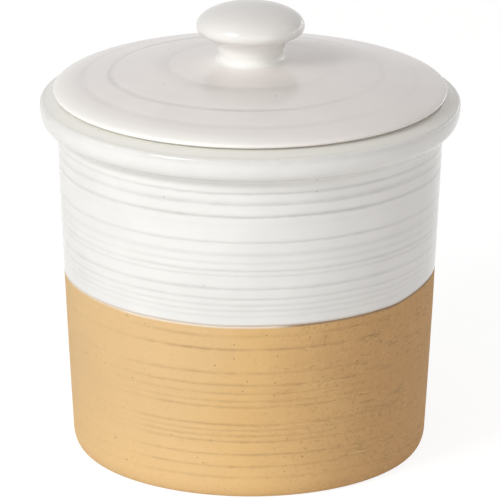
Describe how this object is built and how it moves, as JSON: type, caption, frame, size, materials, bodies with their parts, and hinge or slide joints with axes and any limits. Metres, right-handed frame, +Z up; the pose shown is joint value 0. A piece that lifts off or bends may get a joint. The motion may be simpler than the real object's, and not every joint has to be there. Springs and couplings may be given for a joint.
{
  "type": "lidded jar",
  "caption": "Round stoneware jar with a rolled rim, half glazed, and a domed lift-off lid with a knob, flange and sealing ring.",
  "frame": {"origin": "centre of the base, on the surface that the jar stands on", "axes": "+Z up along the jar's axis; -Y is the side that the picture looks at; the jar is round, so X and Y are otherwise free"},
  "size_m": [0.168, 0.168, 0.183],
  "materials": {
    "bare_stoneware": "matt bare clay with fine iron specks",
    "white_glaze": "soft gloss, warm white, greyer in the throwing rings",
    "lid_glaze": "soft gloss, warm white",
    "knob_glaze": "soft gloss, warm white",
    "clear_silicone": "cloudy, satin"
  },
  "bodies": {
    "jar": {"jar_body": "bare_stoneware", "jar_glaze": "white_glaze"},
    "seal": {"lid_seal": "clear_silicone"},
    "lid": {"lid": "lid_glaze", "lid_knob": "knob_glaze"}
  },
  "joints": [
    {"name": "lid_lift", "type": "slide", "parent": "jar", "child": "seal", "axis": [0, 0, 1], "range_m": [0, 0.18]},
    {"name": "lid_turn", "type": "hinge", "parent": "seal", "child": "lid", "pos_m": [0, 0, 0.1472], "axis": [0, 0, 1], "continuous": true}
  ]
}
